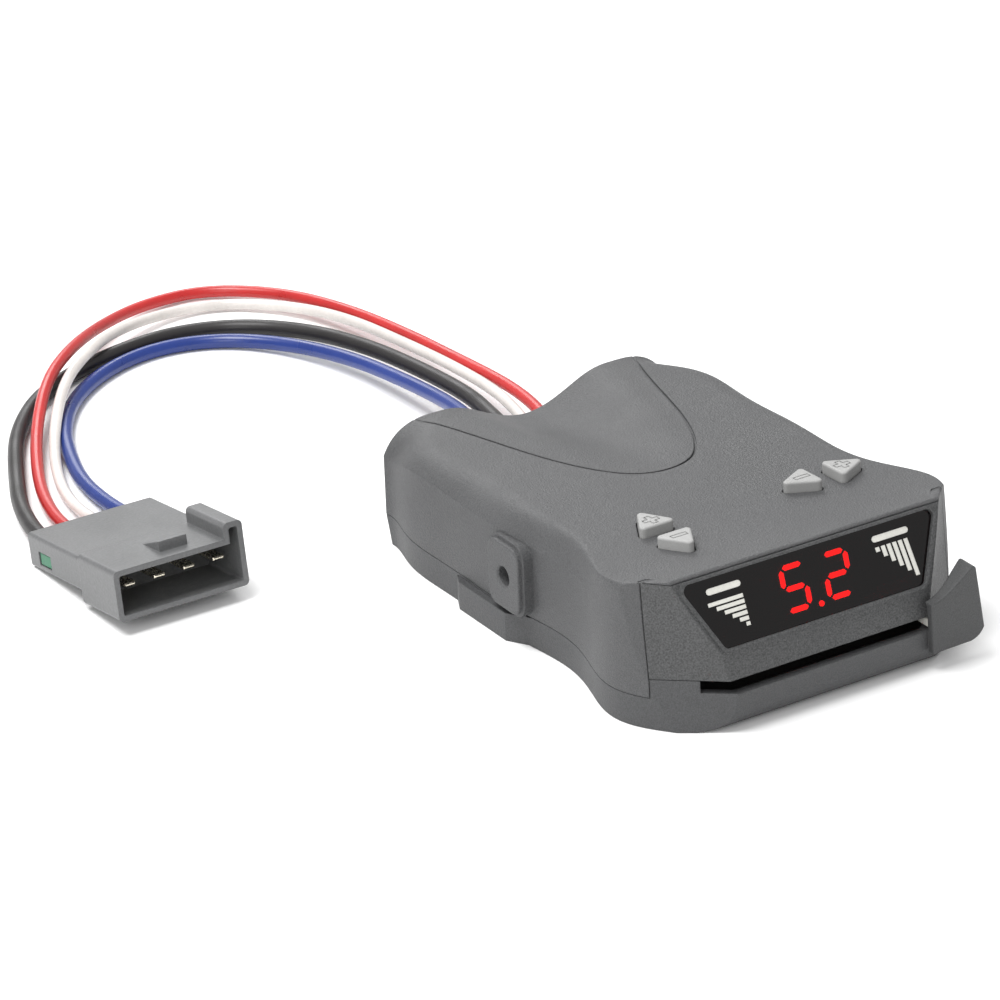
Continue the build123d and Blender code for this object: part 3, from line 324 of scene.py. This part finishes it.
# slot: (colour, roughness)
METALS = {
    "aluminium_plate": ((0.72, 0.73, 0.74), 0.38),
    "zinc_steel": ((0.60, 0.61, 0.63), 0.32),
    "spring_steel": ((0.50, 0.50, 0.51), 0.25),
    "copper": ((0.83, 0.42, 0.26), 0.30),
    "brass_terminal": ((0.86, 0.80, 0.66), 0.26),
}
INSULATIONS = {
    "wire_red_pvc": ((0.47, 0.014, 0.014), 0.34),
    "wire_white_pvc": ((0.66, 0.62, 0.59), 0.34),
    "wire_black_pvc": ((0.010, 0.008, 0.008), 0.5),
    "wire_blue_pvc": ((0.008, 0.030, 0.19), 0.34),
}


def make_materials():
    """One finish for each material slot of the record."""
    finishes = {name: moulded(name, *values) for name, values in MOULDED.items()}
    finishes["lit_red"] = glowing("lit_red", (1.0, 0.02, 0.02), 30.0)
    finishes["lens"] = tinted_glass("lens", (0.05, 0.004, 0.004))
    finishes["circuit_board"] = circuit("circuit_board", (0.012, 0.085, 0.030))
    for name, values in METALS.items():
        finishes[name] = metal(name, *values)
    for name, values in INSULATIONS.items():
        finishes[name] = insulation(name, *values)
    return finishes


def finish_frame(materials):
    """Gives every CAD node the finish of its own slot."""
    for part in frame["record"]["subparts"]:
        node = frame["nodes"][part["node"]]
        node.data.materials.clear()
        node.data.materials.append(materials[part["material_slot"]])


# ---------------------------------------------------------------- marks on the display window
WINDOW_FACE = (0.0, -55.55, 25.95)    # middle of the display face, in mm
WINDOW_UP = (0.0, 0.440, 0.898)
WINDOW_OUT = (0.0, -0.898, 0.440)
GLASS_SUNK = 0.5              # the glass lies this far behind the display face
PRINT_ROOT = 0.004            # the print starts this far above the glass
PRINT_HEIGHT = 0.03           # and ends this far above it

PILL_FOOT = 4.1               # both pills, up from the middle of the display
PILL_TOP = 5.5
LEVEL_PILL = (8.6, 0.2)       # how far the left pill reaches to the left and right of the bars' end
LEVEL_RIGHT = -18.2           # right end of the level bars
LEVEL_TOP = 2.5
LEVEL_PITCH = 1.22
LEVEL_HEIGHT = 0.85
LEVEL_LENGTHS = (8.9, 7.1, 5.4, 3.8, 2.3, 1.0)
UPRIGHT_PILL = (16.2, 25.8)   # ends of the right pill
UPRIGHT_LEFT = 16.5           # left edge of the first upright bar
UPRIGHT_TOP = 3.0
UPRIGHT_PITCH = 1.5
UPRIGHT_WIDTH = 1.05
UPRIGHT_LENGTHS = (1.0, 2.4, 3.9, 5.4, 6.9, 8.4)
UPRIGHT_LEAN = 0.10           # sideways lean for each millimetre of length


def window_point(across, up, out):
    """A point of the display face's own frame, in metres."""
    point = Vector(WINDOW_FACE) + Vector((across, 0, 0))
    return (point + Vector(WINDOW_UP) * up + Vector(WINDOW_OUT) * out) * MM


def print_patch(mesh, corners):
    """Adds one printed patch with thin edges to a bmesh, its corners given on the display face."""
    low = [mesh.verts.new(window_point(x, y, -GLASS_SUNK + PRINT_ROOT)) for x, y in corners]
    high = [mesh.verts.new(window_point(x, y, -GLASS_SUNK + PRINT_HEIGHT)) for x, y in corners]
    mesh.faces.new(high)
    mesh.faces.new(list(reversed(low)))
    for here in range(len(corners)):
        there = (here + 1) % len(corners)
        mesh.faces.new((low[here], low[there], high[there], high[here]))


def pill(left, right, foot, top, steps=5):
    """A plain bar with round ends, as corners in order."""
    radius = (top - foot) / 2
    middle = (top + foot) / 2
    corners = []
    for centre, first in ((right - radius, -90), (left + radius, 90)):
        for step in range(steps + 1):
            angle = math.radians(first + 180 * step / steps)
            corners.append((centre + radius * math.cos(angle), middle + radius * math.sin(angle)))
    return corners


def finish_piece(name, mesh, material):
    """Turns a bmesh into a piece of the housing."""
    bmesh.ops.recalc_face_normals(mesh, faces=mesh.faces)
    data = bpy.data.meshes.new(name)
    mesh.to_mesh(data)
    mesh.free()
    data.materials.append(material)
    piece = bpy.data.objects.new(name, data)
    bpy.context.collection.objects.link(piece)
    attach(piece, BODY)
    return piece


def make_level_bars(material):
    """Left sign: level bars that shrink downwards, under a plain pill in place of a word."""
    mesh = bmesh.new()
    right = LEVEL_RIGHT
    print_patch(mesh, pill(right - LEVEL_PILL[0], right + LEVEL_PILL[1], PILL_FOOT, PILL_TOP))
    for row, length in enumerate(LEVEL_LENGTHS):
        left = right - length
        top = LEVEL_TOP - row * LEVEL_PITCH
        foot = top - LEVEL_HEIGHT
        print_patch(mesh, [(left, foot), (right, foot), (right, top), (left, top)])
    return finish_piece("level_bars_print", mesh, material)


def make_upright_bars(material):
    """Right sign: upright bars that get longer to the right, under a plain pill in place of a word."""
    mesh = bmesh.new()
    top = UPRIGHT_TOP
    print_patch(mesh, pill(*UPRIGHT_PILL, PILL_FOOT, PILL_TOP))
    for column, length in enumerate(UPRIGHT_LENGTHS):
        left = UPRIGHT_LEFT + column * UPRIGHT_PITCH
        right = left + UPRIGHT_WIDTH
        lean = UPRIGHT_LEAN * length
        foot = top - length
        print_patch(mesh, [(left + lean, foot), (right + lean, foot), (right, top), (left, top)])
    return finish_piece("rising_bars_print", mesh, material)


# ---------------------------------------------------------------- studio
FLOOR_HALF = 3.0              # metres, to the sides and to the front
FLOOR_BACK = 3.0              # the floor starts to curve up here
FLOOR_CURVE = 1.0             # radius of that curve
FLOOR_RISE = 2.0              # height of the wall above it
FLOOR_STEPS = 12
FLOOR_DROP = 0.0001           # the floor lies this far under the base
LIGHT_TARGET = (0, 0.03, 0.01)

# name, place, size of a side in metres, power in watts
LIGHTS = (
    ("key", (-0.45, 0.15, 1.15), 0.6, 14.0),
    ("fill", (-1.00, -0.70, 0.60), 0.6, 4.0),
    ("rim", (0.30, 1.10, 0.80), 0.6, 6.0),
)
SURROUNDINGS = 0.62           # strength of the even white surroundings


def make_floor():
    """A wide pale floor with a soft curve up behind the object."""
    mesh = bmesh.new()
    profile = [(-FLOOR_HALF, 0.0), (FLOOR_BACK, 0.0)]
    for step in range(1, FLOOR_STEPS + 1):
        angle = math.radians(90 * step / FLOOR_STEPS)
        across = FLOOR_CURVE * math.sin(angle)
        profile.append((FLOOR_BACK + across, FLOOR_CURVE * (1 - math.cos(angle))))
    profile.append((FLOOR_BACK + FLOOR_CURVE, FLOOR_CURVE + FLOOR_RISE))
    rows = [[mesh.verts.new((x, y, z)) for y, z in profile] for x in (-FLOOR_HALF, FLOOR_HALF)]
    for here in range(len(profile) - 1):
        mesh.faces.new((rows[0][here], rows[1][here], rows[1][here + 1], rows[0][here + 1]))
    data = bpy.data.meshes.new("floor")
    mesh.to_mesh(data)
    mesh.free()
    finish = Finish("floor_paper", (0.96, 0.96, 0.96), 0.9)
    finish.tinted((finish.noise(0.05, 2), 0.004))
    data.materials.append(finish.material)
    floor = bpy.data.objects.new("floor", data)
    floor.location.z = -FLOOR_DROP
    bpy.context.collection.objects.link(floor)


def make_light(name, place, size, power):
    """A soft square light that faces the object."""
    data = bpy.data.lights.new(name, "AREA")
    data.shape = "SQUARE"
    data.size = size
    data.energy = power
    light = bpy.data.objects.new(name, data)
    light.location = place
    light.rotation_mode = "QUATERNION"
    light.rotation_quaternion = (Vector(LIGHT_TARGET) - Vector(place)).to_track_quat("-Z", "Y")
    bpy.context.collection.objects.link(light)


def make_studio():
    """Pale floor, bright even surroundings and soft lights."""
    make_floor()
    for light in LIGHTS:
        make_light(*light)
    world = bpy.data.worlds.new("surroundings")
    world.use_nodes = True
    world.node_tree.nodes["Background"].inputs["Color"].default_value = (1, 1, 1, 1)
    world.node_tree.nodes["Background"].inputs["Strength"].default_value = SURROUNDINGS
    bpy.context.scene.world = world
    bpy.context.scene.view_settings.view_transform = "Standard"


# ---------------------------------------------------------------- the whole scene
make_camera()
slots = make_materials()
for wire_name in WIRES:
    make_wire(wire_name, slots[wire_name + "_pvc"])
finish_frame(slots)
make_level_bars(slots["nylon_white"])
make_upright_bars(slots["nylon_white"])
make_studio()
